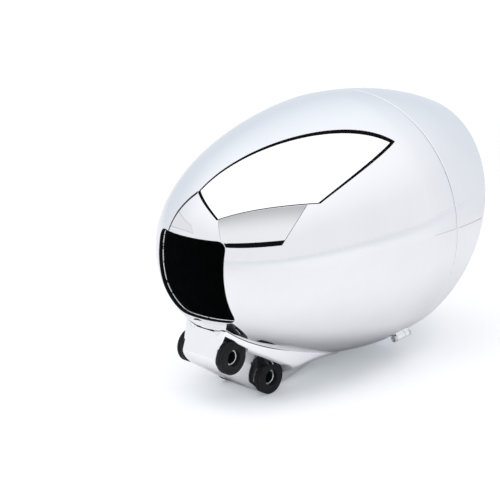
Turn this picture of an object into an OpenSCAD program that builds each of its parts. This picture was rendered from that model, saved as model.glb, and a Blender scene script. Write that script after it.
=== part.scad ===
// Round motorcycle headlight with a deep bullet shell, a browed bezel and a rubber-bushed mounting block.
// The lens looks along -Y and +Z is up. The origin is the middle of the rear mounting bore.
// Distances named "depth" are measured forward along the lamp's axis from the shell's rear pole.

/* [Body] */
// Largest radius of the shell
body_r = 95; // [85:1:105]
// Depth at which the body is widest
wide_depth = 152; // [145:1:160]
// Fullness of the rear dome along the axis
rear_p = 1.52; // [1.4:0.02:1.8]
// Fullness of the rear dome around the axis
rear_q = 2.51; // [2.2:0.02:2.8]
// Length over which the front would close to a point
front_len = 170; // [160:1:190]
// Fullness of the front along the axis
front_p = 2.09; // [1.9:0.02:2.4]
// Fullness of the front around the axis
front_q = 2.18; // [1.9:0.02:2.5]
// Sheet thickness of the shell
shell_t = 1.2; // [1:0.1:1.8]
// Distance from the widest place forward to the seam between the shell and the bezel
seam_run = 22; // [16:1:26]
// Open line at the seam
seam_gap = 0.4; // [0.2:0.1:0.8]

/* [Rear opening] */
// Half the width of the opening
mouth_half_w = 29.6; // [24:0.2:32]
// Distance from the lamp's axis down to the opening's lower edge
mouth_drop = 35.1; // [30:0.1:38]
// Distance from the lamp's axis up to the opening's upper edge
mouth_top = 20.9; // [16:0.1:26]
// Radius of the three tight corners
mouth_corner_r = 5; // [3:0.5:8]
// Radius of the wide lower corner
mouth_wide_r = 19; // [12:0.5:22]
// How far the edge is turned into the shell
mouth_lip = 4.2; // [3:0.1:6]

/* [Bezel] */
// Sheet thickness of the bezel
bezel_t = 1.5; // [1.2:0.1:2]
// Distance from the seam forward to the bezel's front edge at the chin
chin_run = 11.5; // [10:0.5:16]
// Distance from the chin's edge forward to where the brow's edge crosses the axis
brow_run = 27; // [20:0.5:34]
// How far the brow's edge leans forward from upright
brow_lean = 25.5; // [18:0.5:28]
// How far the bezel's skirt reaches back into the shell
skirt_len = 9; // [6:0.5:12]
// Thickness of the skirt
skirt_t = 1.3; // [1:0.1:1.8]
// How far the skirt's rear edge is turned inward
skirt_lip = 2.4; // [1.6:0.2:3]

/* [Bezel screws] */
// Angle of each bezel screw from the bottom
screw_angle = 30; // [22:1:36]
// Radius of the bezel screw's thread
screw_r = 1.5; // [1.2:0.1:1.6]
// Radius of the bezel screw's head
screw_head_r = 2.4; // [2.2:0.1:2.8]
// Height of the bezel screw's head
screw_head_h = 3; // [2.4:0.2:4]
// Radius of the screw tubes on the shell and the bezel
lug_r = 2.5; // [2.4:0.1:2.9]
// Length of the shell's screw tube
shell_lug_t = 9; // [6:0.5:11]
// Length of the bezel's screw tube
bezel_lug_t = 4.6; // [3:0.2:6]
// Thickness of the nut in front of the bezel's screw tube
nut_t = 2.4; // [2:0.2:3]

/* [Lens and reflector] */
// Width of the lens seal outside the lens
seal_wall = 3.2; // [2.4:0.2:4]
// Thickness of the lens's edge
lens_edge_t = 3.6; // [3:0.2:5]
// Thickness of the lens's dome
lens_dome_t = 3.2; // [2.4:0.2:4]
// Height of the lens's dome
lens_rise = 13; // [8:0.5:16]
// Width of the lens's flat edge
lens_land = 6; // [4:0.5:8]
// Thickness of the lens rim
rim_t = 1.2; // [1:0.1:1.6]
// How far the lens rim covers the lens's edge
rim_lap = 6.5; // [5.5:0.5:8]
// Thickness of the lens seal
seal_t = 1.6; // [1.2:0.1:2]
// Wall of the reflector
reflector_t = 1.2; // [0.8:0.1:1.8]
// Focal length of the reflector
reflector_f = 27; // [24:0.5:30]
// Inner radius of the reflector's neck
neck_r = 19; // [17:0.5:22]
// Length of the reflector's neck
neck_len = 9; // [6:0.5:12]
// Number of the spring clips that hold the reflector
clip_count = 5; // [3:1:8]
// Angle that each spring clip covers
clip_span = 10; // [6:1:16]
// Thickness of the spring clips
clip_t = 0.8; // [0.6:0.1:1.2]

/* [Bulb and boot] */
// Radius of the bulb's glass
bulb_r = 8.5; // [7:0.5:10]
// Length of the bulb's glass
bulb_len = 44; // [36:1:50]
// Radius of the bulb's barrel
barrel_r = 11; // [10:0.5:13]
// Length of the bulb's barrel
barrel_len = 12; // [8:1:15]
// Radius of the bulb's flange
flange_r = 21; // [20.5:0.5:24]
// Thickness of the bulb's flange
flange_t = 1.6; // [1.2:0.1:2.4]
// Length of the cap behind the flange
cap_len = 9; // [6:1:12]
// Radius of the cap behind the flange
cap_r = 15; // [13:0.5:16]
// Length of each terminal
terminal_len = 9; // [7:0.5:11]
// Width of each terminal
terminal_w = 8; // [6:0.5:8.5]
// Thickness of each terminal
terminal_t = 0.8; // [0.6:0.1:1.2]
// Thickness of the bulb's spring wire
wire_t = 1.4; // [1:0.1:1.8]
// Wall of the rubber boot
boot_t = 2.2; // [1.6:0.1:3]
// Outer radius of the rubber boot
boot_r = 36; // [33:0.5:42]

/* [Mounting block] */
// Height of the shell's underside above the front bore
shell_over_bore = 16.08; // [15:0.01:20]
// How far the rear pole lies behind the rear bore
pole_y = 21.8; // [20:0.1:24]
// Distance between the two mounting bores
bore_pitch = 44.5; // [42:0.5:50]
// Slope of the line through the two bores
bore_slope = 35.1; // [33:0.1:38]
// Radius of the two bosses
boss_r = 11.7; // [11:0.1:13]
// Half the width of the block at the bosses
block_half_w = 15.5; // [13:0.5:18]
// Radius of the block's lower edges
block_edge_r = 3.5; // [2:0.5:5]
// Half the width of the saddle where it is widest
saddle_half_w = 36; // [30:1:42]
// Distance from the rear bore forward to the saddle's widest place
saddle_wide_y = 70; // [60:1:80]
// Distance from the rear bore forward to the saddle's tip
saddle_tip_y = 120; // [112:1:130]
// Length over which the arm thins from the front boss to the tip's thickness
arm_run = 74; // [60:1:80]
// Height of the flare between the block and the saddle
flare_h = 7; // [4:0.5:12]
// Thickness of the saddle's edge at its rear end
saddle_edge_t = 5; // [3:0.5:7]
// Thickness of the saddle's edge at its shoulder, just ahead of the front bush
shoulder_t = 13; // [8:0.5:14]
// Length over which the edge thins from the shoulder to the tip's thickness
shoulder_run = 47; // [30:1:60]
// Thickness of the saddle's tip
tip_t = 1.6; // [1.2:0.1:2.4]
// Roundness of the saddle's edge
edge_round = 2.5; // [1:0.5:4]
// Gap between the saddle and the shell
saddle_gap = 0.3; // [0.2:0.05:0.5]

/* [Bushes and sleeves] */
// Radius of the rubber bushes
bush_r = 11.7; // [10:0.1:12]
// Distance from the middle to a bush's outer face
bush_face_x = 21.6; // [20:0.2:24]
// Radius of each bush's spigot inside the block
spigot_r = 8; // [7.6:0.1:8.6]
// Length of each bush's spigot
spigot_len = 5.5; // [3:0.5:6]
// Depth of the groove round each bush
groove_d = 0.5; // [0.3:0.1:0.8]
// Distance from the rear bore to the flat on top of the rear bushes
rear_flat = 9.6; // [9:0.1:10.4]
// Radius of the steel sleeves
sleeve_r = 5.5; // [5.2:0.1:5.8]
// Radius of the sleeves' bore
sleeve_bore_r = 4.2; // [3.6:0.1:4.4]
// How far the sleeves' ends lie inside the bushes
sleeve_inset = 2.4; // [1:0.2:4]

/* [Block bolts] */
// Distance from the rear bore forward to the first bolt
bolt_y1 = 42; // [38:1:46]
// Distance from the rear bore forward to the second bolt
bolt_y2 = 74; // [66:1:80]
// Radius of the bolts
bolt_r = 4; // [3:0.1:4.4]
// Radius of the bolt heads across their corners
bolt_head_r = 7.4; // [6.6:0.1:8]
// Height of the bolt heads
bolt_head_h = 5; // [4:0.5:6]
// How far the bolts reach into the block
bolt_reach = 8; // [6:0.5:9]
// Thickness of the backing plate
plate_t = 2.5; // [2:0.1:3.5]
// Half the width of the backing plate
plate_half_w = 22; // [18:1:26]
// Thickness of the washers
washer_t = 1.6; // [1.2:0.1:2]

/* [Hidden] */

$fn = 96;
// Fit between pieces that seat on each other
seat = 0.3;
// Extra length of a cutter past the face that it cuts
over = 1;
// Colour of the chromed pieces
chrome_c = [0.86, 0.88, 0.91];
// Colour of the rubber pieces
rubber_c = [0.06, 0.06, 0.07];
// Colour of the plated steel pieces
steel_c = [0.70, 0.71, 0.73];
// Number of steps along the rear dome and along the front
rear_steps = 40;
front_steps = 14;
// The sampled depths crowd together at the pole, where the dome is blunt
pole_crowd = 2.4;
// Number of the rear steps that lie in the shell's domed end, and the depth where it ends
dome_steps = 24;
dome_depth = wide_depth * pow(dome_steps / rear_steps, pole_crowd);
// Step that the slope is worked out over
tiny = 0.001;

// Depths of the seam, of the bezel's front edge at the chin, and of the brow's edge on the axis
seam_depth = wide_depth + seam_run;
chin_depth = seam_depth + chin_run;
brow_depth = chin_depth + brow_run;
// Share of the body's radius that the brow's edge rises over the axis, and the depth where it ends
brow_share = 0.86;
front_end = brow_depth + brow_share * body_r * tan(brow_lean);

// Radius of the body of revolution at a depth
function body_at(d) = d < wide_depth
    ? body_r * pow(1 - pow((wide_depth - d) / wide_depth, rear_p), 1 / rear_q)
    : body_r * pow(1 - pow((d - wide_depth) / front_len, front_p), 1 / front_q);

// Middle of the front bore
front_y = -bore_pitch * cos(bore_slope);
front_z = -bore_pitch * sin(bore_slope);
// Height of the lamp's axis above the rear bore, so that the shell stands over the front bore as stated
axis_h = body_at(pole_y - front_y) + front_z + shell_over_bore;

// A point of the body's outline at a depth, moved square to the surface, inward where inset is positive
function slope_at(d) = (body_at(d + tiny) - body_at(d)) / tiny;
function wall_point(d, inset) = let (s = slope_at(d), n = sqrt(1 + s * s))
    [body_at(d) - inset / n, d + inset * s / n];

// Depths from the pole to a depth in the front
function rear_depths(last) = [for (i = [1:rear_steps]) last * pow(i / rear_steps, pole_crowd)];
function front_depths(first, last) = [for (i = [0:front_steps]) first + (last - first) * i / front_steps];

// Height of the body's underside over the part's origin, at a place forward of the rear bore and off centre
function belly_z(y, x) = axis_h - sqrt(max(pow(body_at(pole_y - y), 2) - x * x, 0));

// Turns a thing modelled along +Z, with +Z forward, on to the lamp's axis
module on_axis() {
    translate([0, pole_y, axis_h])
        rotate([90, 0, 0])
            children();
}

// The solid of the body from the pole to a depth, shrunk by an inset or grown by a negative one
module body_solid(last, inset) {
    rear = [for (d = rear_depths(min(last, wide_depth))) wall_point(d, inset)];
    front = last > wide_depth ? [for (d = front_depths(wide_depth + over, last)) wall_point(d, inset)] : [];
    outline = concat([[0, inset]], rear, front, [[0, last]]);
    on_axis()
        rotate_extrude()
            polygon(outline);
}

// A ring about the lamp's axis with a rectangular section
module ring(inner, outer, first, last) {
    on_axis()
        translate([0, 0, first])
            rotate_extrude()
                translate([inner, 0])
                    square([outer - inner, last - first]);
}

// Points of a quarter circle
function corner(cx, cy, r, first) = [for (a = [0:15:90]) [cx + r * cos(first + a), cy + r * sin(first + a)]];

// Outline of the rear opening in X and Z, grown by a width
function mouth_outline(grow) = let (
    w = mouth_half_w,
    c = mouth_corner_r,
    low = axis_h - mouth_drop,
    high = axis_h + mouth_top)
    concat(
        corner(w - c, high - c, c + grow, 0),
        corner(c - w, high - c, c + grow, 90),
        corner(c - w, low + c, c + grow, 180),
        corner(w - mouth_wide_r, low + mouth_wide_r, mouth_wide_r + grow, 270));

module mouth_prism(grow) {
    translate([0, pole_y + over, 0])
        rotate([90, 0, 0])
            linear_extrude(height = dome_depth)
                polygon(mouth_outline(grow));
}

// Width of a screw tube's neck, as a share of the tube's radius
neck_share = 1.4;
// Depth of the screw's socket and radius of its nut, as shares of the head's height and of the tube's radius
socket_share = 0.6;
nut_share = 0.95;

// Puts a thing modelled along +Z at each bezel screw
screw_centre_r = body_r + screw_head_r + seat;
module at_screws() {
    on_axis()
        for (side = [-1, 1])
            rotate([0, 0, side * screw_angle])
                translate([0, -screw_centre_r, 0])
                    children();
}

// A tube for the screw on a neck that runs into the wall beside it
module lug(first, last, wall) {
    neck_w = lug_r * neck_share;
    neck_h = screw_centre_r - body_at(last) + wall / 2;
    difference() {
        union() {
            at_screws()
                translate([0, 0, first])
                    cylinder(r = lug_r, h = last - first);
            at_screws()
                translate([-neck_w / 2, 0, first])
                    cube([neck_w, neck_h, last - first]);
        }
        at_screws()
            translate([0, 0, first - over])
                cylinder(r = screw_r + seat / 2, h = last - first + 2 * over);
    }
}

shell_end = seam_depth - seam_gap / 2;
bezel_start = seam_depth + seam_gap / 2;

// The pressed sheet is one piece. Its domed end, with the rear opening, is a node of its own.
module shell_sheet() {
    difference() {
        body_solid(shell_end, 0);
        body_inside();
    }
}

module headlight_shell() {
    color(chrome_c)
        difference() {
            union() {
                difference() {
                    shell_sheet();
                    ring(0, body_r, -over, dome_depth);
                }
                lug(shell_end - shell_lug_t, shell_end, shell_t);
            }
            bolt_holes(bolt_r + seat);
        }
}

module shell_dome() {
    color(chrome_c) {
        difference() {
            shell_sheet();
            ring(0, body_r + over, dome_depth, shell_end + over);
            mouth_prism(shell_t / 2);
        }
        mouth_edge();
    }
}

// The space inside the shell, open at the seam
module body_inside() {
    difference() {
        body_solid(shell_end + over, shell_t);
        ring(body_at(shell_end) - shell_t, body_r, shell_end, shell_end + 2 * over);
    }
    ring(0, body_at(shell_end) - shell_t, shell_end - over, shell_end + over);
}

// The opening's edge, turned into the shell all round
module mouth_edge() {
    intersection() {
        difference() {
            mouth_prism(shell_t);
            translate([0, over, 0])
                mouth_prism(0);
            translate([0, -over, 0])
                mouth_prism(0);
        }
        difference() {
            body_solid(wide_depth, 0);
            body_solid(wide_depth, mouth_lip);
        }
    }
}

module bezel() {
    skirt_r = body_at(shell_end) - shell_t - seat;
    skirt_back = seam_depth - skirt_len;
    color(chrome_c) {
        difference() {
            body_solid(front_end + over, 0);
            body_solid(front_end + 2 * over, bezel_t);
            ring(0, body_r + over, -over, bezel_start);
            brow_cutter();
        }
        ring(skirt_r - skirt_t, skirt_r, skirt_back, bezel_start + bezel_t);
        ring(skirt_r - skirt_t, body_at(bezel_start) - bezel_t / 2, bezel_start, bezel_start + bezel_t);
        ring(skirt_r - skirt_lip, skirt_r, skirt_back, skirt_back + skirt_t);
        lug(bezel_start, bezel_start + bezel_lug_t, bezel_t);
    }
}

// What lies in front of the chin and of the leaning brow
module brow_cutter() {
    reach = 3 * body_r;
    chin_z = (chin_depth - brow_depth) / tan(brow_lean);
    outline = [
        [pole_y - chin_depth, axis_h - reach],
        [pole_y - chin_depth, axis_h + chin_z],
        [pole_y - brow_depth - reach * tan(brow_lean), axis_h + reach],
        [pole_y - brow_depth - 3 * reach, axis_h + reach],
        [pole_y - brow_depth - 3 * reach, axis_h - reach]];
    translate([-reach / 2, 0, 0])
        rotate([90, 0, 90])
            linear_extrude(height = reach)
                polygon(outline);
}

module bezel_screws() {
    tip = bezel_start + bezel_lug_t + nut_t + seat;
    head = shell_end - shell_lug_t;
    color(steel_c)
        difference() {
            union() {
                at_screws()
                    translate([0, 0, head - screw_head_h])
                        cylinder(r = screw_head_r, h = screw_head_h);
                at_screws()
                    translate([0, 0, head - over])
                        cylinder(r = screw_r, h = tip - head + over);
            }
            at_screws()
                translate([0, 0, head - screw_head_h - over])
                    cylinder(r = screw_head_r / 2, h = screw_head_h * socket_share + over, $fn = 6);
        }
}

module bezel_nuts() {
    first = bezel_start + bezel_lug_t;
    color(steel_c)
        difference() {
            at_screws()
                translate([0, 0, first])
                    cylinder(r = lug_r * nut_share, h = nut_t, $fn = 6);
            at_screws()
                translate([0, 0, first - over])
                    cylinder(r = screw_r + seat / 6, h = nut_t + 2 * over);
        }
}

// The lens and its neighbours lie behind the rim's flange in this order
rim_back = chin_depth - rim_t - seat;
seal_front = rim_back - seat;
lens_front = seal_front - seal_t;
lens_back = lens_front - lens_edge_t;
reflector_front = lens_back - seat / 3;
reflector_back = reflector_front - reflector_t;
seal_back = reflector_back - seal_t;
rim_flange_r = body_at(chin_depth) - bezel_t - seat;
rim_outer_r = body_at(shell_end) - shell_t - skirt_t - 2 * seat;
seal_outer_r = rim_outer_r - rim_t - seat;
lens_r = seal_outer_r - seal_wall - seat / 3;
rim_inner_r = lens_r - rim_lap;
bowl_rim_r = lens_r - lens_land - reflector_t;

module lens_rim() {
    color(chrome_c) {
        ring(rim_inner_r, rim_flange_r, rim_back, rim_back + rim_t);
        ring(rim_outer_r - rim_t, rim_outer_r, seal_back, rim_back + rim_t);
    }
}

module lens_seal() {
    color(rubber_c) {
        ring(rim_inner_r + seat, seal_outer_r, seal_front - seal_t, seal_front);
        ring(lens_r + seat / 3, seal_outer_r, seal_back, seal_front);
        ring(bowl_rim_r + reflector_t + seat, seal_outer_r, seal_back, seal_back + seal_t);
    }
}

// Radius of the sphere through the dome's rim and its top
dome_foot_r = rim_inner_r - seat;
dome_r = (dome_foot_r * dome_foot_r + lens_rise * lens_rise) / (2 * lens_rise);
function dome_z(r, s) = sqrt(s * s - r * r) - (dome_r - lens_rise);

module lens() {
    steps = 16;
    land_r = lens_r - lens_land;
    outer = [for (i = [0:steps]) [dome_foot_r * (1 - i / steps), dome_z(dome_foot_r * (1 - i / steps), dome_r)]];
    hollow_r = land_r - lens_dome_t / 2;
    inner = [for (i = [0:steps]) [hollow_r * i / steps, dome_z(hollow_r * i / steps, dome_r - lens_dome_t)]];
    color([0.85, 0.90, 0.95, 0.5])
        on_axis()
            translate([0, 0, lens_front])
                rotate_extrude()
                    polygon(concat(
                        [[lens_r, 0], [dome_foot_r, 0]],
                        outer,
                        inner,
                        [[land_r, -lens_edge_t], [lens_r, -lens_edge_t]]));
}

// Depth of the parabola's vertex, so that its rim meets the flange
bowl_vertex = reflector_back - bowl_rim_r * bowl_rim_r / (4 * reflector_f);
function bowl_depth(r) = bowl_vertex + r * r / (4 * reflector_f);
neck_front = bowl_depth(neck_r);
neck_back = neck_front - neck_len;

module reflector() {
    steps = 20;
    radii = [for (i = [0:steps]) neck_r + (bowl_rim_r - neck_r) * i / steps];
    inner = [for (r = radii) [r, bowl_depth(r)]];
    outer = [for (i = [steps:-1:0]) [radii[i] + reflector_t, bowl_depth(radii[i])]];
    color([0.93, 0.94, 0.95])
        on_axis()
            rotate_extrude()
                polygon(concat(
                    [[neck_r, neck_back]],
                    inner,
                    [[bowl_rim_r, reflector_front], [lens_r, reflector_front], [lens_r, reflector_back]],
                    outer,
                    [[neck_r + reflector_t, neck_back]]));
}

module rim_clips() {
    foot_out = lens_r - lens_land / 2;
    foot_in = rim_inner_r + lens_land / 4;
    hook_r = body_at(shell_end) - shell_t - seat - skirt_t - seat;
    foot = seal_back - seat;
    hook = seam_depth - skirt_len + skirt_t + seat;
    color(steel_c)
        on_axis()
            for (i = [0:clip_count - 1])
                rotate([0, 0, 90 + i * 360 / clip_count - clip_span / 2])
                    rotate_extrude(angle = clip_span)
                        polygon([
                            [foot_in, foot],
                            [foot_in, foot - clip_t],
                            [foot_out - clip_t, foot - clip_t],
                            [hook_r - skirt_lip + skirt_t, hook],
                            [hook_r, hook],
                            [hook_r, hook + clip_t],
                            [hook_r - skirt_lip + skirt_t + clip_t, hook + clip_t],
                            [foot_out, foot]]);
}

// The bulb hangs on its flange behind the reflector's neck
flange_front = neck_back - seat;
flange_back = flange_front - flange_t;

module bulb_glass() {
    first = flange_front + barrel_len;
    color([0.92, 0.95, 1, 0.5])
        on_axis() {
            translate([0, 0, first])
                cylinder(r = bulb_r, h = bulb_len - bulb_r);
            translate([0, 0, first + bulb_len - bulb_r])
                sphere(r = bulb_r);
        }
}

module bulb_base() {
    color(steel_c)
        on_axis() {
            translate([0, 0, flange_front])
                cylinder(r = barrel_r, h = barrel_len);
            translate([0, 0, flange_back])
                cylinder(r = flange_r, h = flange_t);
            translate([0, 0, flange_back - cap_len])
                cylinder(r = cap_r, h = cap_len);
        }
}

// How far out the terminals stand, as a share of the cap's radius
terminal_share = 0.55;

module bulb_terminals() {
    first = flange_back - cap_len - terminal_len;
    ring_r = cap_r * terminal_share;
    color(steel_c)
        on_axis()
            for (turn = [0, 90, 270])
                rotate([0, 0, turn])
                    translate([-terminal_w / 2, ring_r, first])
                        cube([terminal_w, terminal_t, terminal_len]);
}

// A wire bow pressed on the flange, with its two legs across it and its loop round the cap
module bulb_clip() {
    clip_r = cap_r + wire_t + seat;
    leg = flange_r * 0.5;
    first = flange_back - wire_t;
    color(steel_c)
        on_axis()
            translate([0, 0, first]) {
                rotate_extrude(angle = 180)
                    translate([clip_r - wire_t, 0])
                        square([wire_t, wire_t]);
                for (side = [0, 1])
                    mirror([side, 0, 0])
                        translate([clip_r - wire_t, -leg, 0])
                            cube([wire_t, leg + tiny, wire_t]);
            }
}

// A stepped rubber cap that grips the back of the reflector and the bulb's cap
module rubber_boot() {
    lip_r = cap_r + seat;
    mouth_d = bowl_depth(boot_r - boot_t - reflector_t) - seat;
    back_d = flange_back - cap_len + boot_t;
    step_d = flange_back - wire_t - seat;
    step_r = flange_r + boot_t;
    color(rubber_c)
        on_axis()
            rotate_extrude()
                polygon([
                    [lip_r, back_d - boot_t],
                    [step_r, back_d - boot_t],
                    [step_r + boot_t, step_d],
                    [boot_r, mouth_d - boot_t],
                    [boot_r, mouth_d],
                    [boot_r - boot_t, mouth_d],
                    [boot_r - boot_t, mouth_d - boot_t],
                    [step_r, step_d + boot_t],
                    [step_r - boot_t / 2, back_d],
                    [lip_r, back_d]]);
}

// Where the block's straight underside leaves the front boss
line_end_y = front_y + boss_r * sin(bore_slope);
// Where the block's straight underside leaves the rear boss
line_start_y = boss_r * sin(bore_slope);
// Height of the front boss's lowest place
foot_z = front_z - boss_r;
// Share of the way from there up to the saddle's tip at a place, slow at first
arm_ease = 1.7;
function arm_share(y) = (1 - cos(180 * pow(min((front_y - y) / arm_run, 1), arm_ease))) / 2;

// Height of the casting's underside at a place
function under_z(y) =
    y > line_start_y ? -sqrt(max(boss_r * boss_r - y * y, 0))
    : y > line_end_y ? -boss_r / cos(bore_slope) + y * tan(bore_slope)
    : y > front_y ? front_z - sqrt(max(boss_r * boss_r - pow(y - front_y, 2), 0))
    : foot_z + (belly_z(y, 0) - tip_t - foot_z) * arm_share(y);

// Half the width of the saddle at a place. Its tip keeps a small width, given by this share.
tip_share = 0.002;
function saddle_w(y) = y > -saddle_wide_y
    ? block_half_w + (saddle_half_w - block_half_w) * sin(90 * max(boss_r - y, 0) / (saddle_wide_y + boss_r))
    : saddle_half_w * sqrt(max(1 - pow((-y - saddle_wide_y) / (saddle_tip_y - saddle_wide_y), 2), tip_share));

// Half the width of the block under the flare
function block_w(y) = y > -saddle_wide_y ? block_half_w : saddle_w(y) * block_half_w / saddle_half_w;

// Height of the neck's sloping back, and of what the casting lies against at a place
neck_slope = 2.6;
neck_foot = 1;
function neck_z(y) = (boss_r - y) * neck_slope + neck_foot;
function roof_z(y, x) = min(belly_z(y, x), neck_z(y));
// The blank runs up into the shell, which then cuts it to the saddle's gap
blank_rise = 5;
function top_z(y) = min(belly_z(y, saddle_w(y)) + blank_rise, neck_z(y));

// Thickness of the saddle's edge at a place: it grows forward to the shoulder, then thins to the tip
shoulder_y = front_y - boss_r;
function edge_t(y) = y > shoulder_y
    ? saddle_edge_t + (shoulder_t - saddle_edge_t) * pow((boss_r - y) / (boss_r - shoulder_y), 2)
    : tip_t + (shoulder_t - tip_t) * pow(max(1 - (shoulder_y - y) / shoulder_run, 0), 2);

// Half of one section of the casting, from its underside up into the shell.
// The flare is a quarter round laid along the shell, and the saddle's edge is rounded below.
function half_section(y) = let (
    w = saddle_w(y),
    b = block_w(y),
    low = under_z(y),
    room = max(roof_z(y, b) - low, tiny),
    edge = min(edge_t(y), room / 2),
    c = min(block_edge_r, room / 4, b / 2),
    rise = min(flare_h, room - edge - c),
    round_z = min(edge_round, edge / 2),
    round_x = min(edge_round, (w - b) / 2),
    foot = w - round_x)
    concat(
        [for (a = [0:22.5:90]) [b - c + c * sin(a), low + c - c * cos(a)]],
        [for (a = [15:15:90]) let (x = b + (foot - b) * (1 - cos(a)))
            [x, roof_z(y, x) - edge - rise * (1 - sin(a))]],
        [for (a = [30:30:90]) let (x = foot + round_x * sin(a))
            [x, roof_z(y, x) - edge + round_z * (1 - cos(a))]],
        [[w, top_z(y)]]);

// Places of the sections, close together at the rear boss and at the tip
boss_steps = 8;
arm_steps = 26;
section_y = concat(
    [for (i = [0:boss_steps - 1]) boss_r * cos(4 + 86 * i / boss_steps)],
    [for (i = [0:arm_steps]) -saddle_tip_y * sin(90 * i / arm_steps)]);

// The casting's blank: its sections are joined into one closed skin
module block_blank() {
    half = [for (y = section_y) half_section(y)];
    side = len(half[0]);
    round_n = 2 * side;
    points = [for (i = [0:len(section_y) - 1], j = [0:round_n - 1])
        let (p = j < side ? half[i][j] : half[i][round_n - 1 - j])
        [j < side ? p[0] : -p[0], section_y[i], p[1]]];
    last = len(section_y) - 1;
    bands = [for (i = [0:last - 1], j = [0:round_n - 1]) let (
        a = i * round_n + j,
        b = i * round_n + (j + 1) % round_n)
        each [[a, b, a + round_n], [b, b + round_n, a + round_n]]];
    first_cap = [for (j = [round_n - 1:-1:0]) j];
    last_cap = [for (j = [0:round_n - 1]) last * round_n + j];
    polyhedron(points = points, faces = concat([first_cap], bands, [last_cap]));
}

// Puts a thing modelled along +Z, with its middle at the origin, across each or one of the bores
module across(front) {
    translate([0, front ? front_y : 0, front ? front_z : 0])
        rotate([0, 90, 0])
            children();
}

// Room for a bush's flange beside the block, with the same flat on top at the rear
module bush_room(front) {
    translate([0, front ? front_y : 0, front ? front_z : 0])
        difference() {
            rotate([0, 90, 0])
                difference() {
                    cylinder(r = bush_r + seat, h = 3 * bush_face_x, center = true);
                    cylinder(r = bush_r + over, h = 2 * block_half_w, center = true);
                }
            if (!front)
                rotate([bore_slope, 0, 0])
                    translate([-2 * bush_face_x, -2 * bush_r, rear_flat + seat])
                        cube([4 * bush_face_x, 4 * bush_r, 2 * bush_r]);
        }
}

module mounting_block() {
    reach = 2 * block_half_w + 4 * over;
    seat_d = spigot_len + seat;
    color(chrome_c)
        difference() {
            block_blank();
            body_solid(wide_depth, -saddle_gap);
            for (front = [false, true]) {
                bush_room(front);
                across(front)
                    cylinder(r = sleeve_r + seat, h = reach, center = true);
                for (side = [-1, 1])
                    across(front)
                        translate([0, 0, side * (block_half_w - seat_d / 2 + over / 2)])
                            cylinder(r = spigot_r + seat / 3, h = seat_d + over, center = true);
            }
            bolt_holes(bolt_r + seat / 6);
        }
}

// One rubber bush with its flange, spigot and groove, on the +X side
module bush(flat_top) {
    flange_x = block_half_w + seat;
    groove_x = (flange_x + bush_face_x) / 2 + groove_d;
    edge_r = groove_d;
    difference() {
        rotate([0, 90, 0])
            rotate_extrude()
                polygon([
                    [sleeve_r + seat / 6, block_half_w - spigot_len],
                    [spigot_r, block_half_w - spigot_len],
                    [spigot_r, flange_x],
                    [bush_r, flange_x],
                    [bush_r, groove_x - groove_d],
                    [bush_r - groove_d, groove_x - groove_d / 3],
                    [bush_r - groove_d, groove_x + groove_d / 3],
                    [bush_r, groove_x + groove_d],
                    [bush_r, bush_face_x - edge_r],
                    [bush_r - edge_r, bush_face_x],
                    [sleeve_r + seat / 6, bush_face_x]]);
        if (flat_top)
            rotate([bore_slope, 0, 0])
                translate([0, -bush_r - over, rear_flat])
                    cube([bush_face_x + over, 2 * bush_r + 2 * over, bush_r]);
    }
}

module bush_at(front, side) {
    color(rubber_c)
        translate([0, front ? front_y : 0, front ? front_z : 0])
            mirror([side < 0 ? 1 : 0, 0, 0])
                bush(!front);
}

module rear_bush_left() {
    bush_at(false, 1);
}

module rear_bush_right() {
    bush_at(false, -1);
}

module front_bush_left() {
    bush_at(true, 1);
}

module front_bush_right() {
    bush_at(true, -1);
}

module sleeve(front) {
    half = bush_face_x - sleeve_inset;
    color(steel_c)
        across(front)
            difference() {
                cylinder(r = sleeve_r, h = 2 * half, center = true);
                cylinder(r = sleeve_bore_r, h = 2 * half + 2 * over, center = true);
            }
}

module rear_sleeve() {
    sleeve(false);
}

module front_sleeve() {
    sleeve(true);
}

// Slope of the shell's underside midway between the bolts, which both bolts stand square to
bolt_mid_y = -(bolt_y1 + bolt_y2) / 2;
bolt_tilt = atan((belly_z(bolt_mid_y + over, 0) - belly_z(bolt_mid_y - over, 0)) / (2 * over));

// Puts a thing modelled along +Z, with Z = 0 on the shell's inner face, at each bolt
module at_bolts() {
    for (y = [-bolt_y1, -bolt_y2])
        translate([0, y, belly_z(y, 0) + shell_t / cos(bolt_tilt)])
            rotate([bolt_tilt, 0, 0])
                children();
}

module bolt_holes(r) {
    at_bolts()
        translate([0, 0, -shell_t - saddle_gap - bolt_reach])
            cylinder(r = r, h = bolt_reach + 3 * shell_t + 4 * saddle_gap);
}

// Height of the spot faces on the plate over the shell's inner face
spot_rise = 2.2;
spot_h = plate_t + spot_rise;
// How far the spot faces reach past the bolt heads, and the washers half as far
spot_lap = 2;
// Length of the plate past the bolts, as a share of half its width
plate_share = 0.8;

module backing_plate() {
    half_len = (bolt_y2 - bolt_y1) / 2 + plate_half_w * plate_share;
    color(steel_c)
        difference() {
            union() {
                intersection() {
                    difference() {
                        body_solid(wide_depth, shell_t + seat);
                        body_solid(wide_depth + over, shell_t + seat + plate_t);
                    }
                    translate([0, bolt_mid_y, -axis_h])
                        scale([plate_half_w / half_len, 1, 1])
                            cylinder(r = half_len, h = 2 * axis_h - plate_half_w);
                }
                intersection() {
                    at_bolts()
                        cylinder(r = bolt_head_r + spot_lap, h = spot_h);
                    body_solid(wide_depth, shell_t + seat);
                }
            }
            at_bolts()
                translate([0, 0, -over])
                    cylinder(r = bolt_r + seat, h = spot_h + 2 * over);
        }
}

module block_washers() {
    color(steel_c)
        at_bolts()
            translate([0, 0, spot_h])
                difference() {
                    cylinder(r = bolt_head_r + spot_lap / 2, h = washer_t);
                    translate([0, 0, -over])
                        cylinder(r = bolt_r + seat, h = washer_t + 2 * over);
                }
}

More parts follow.
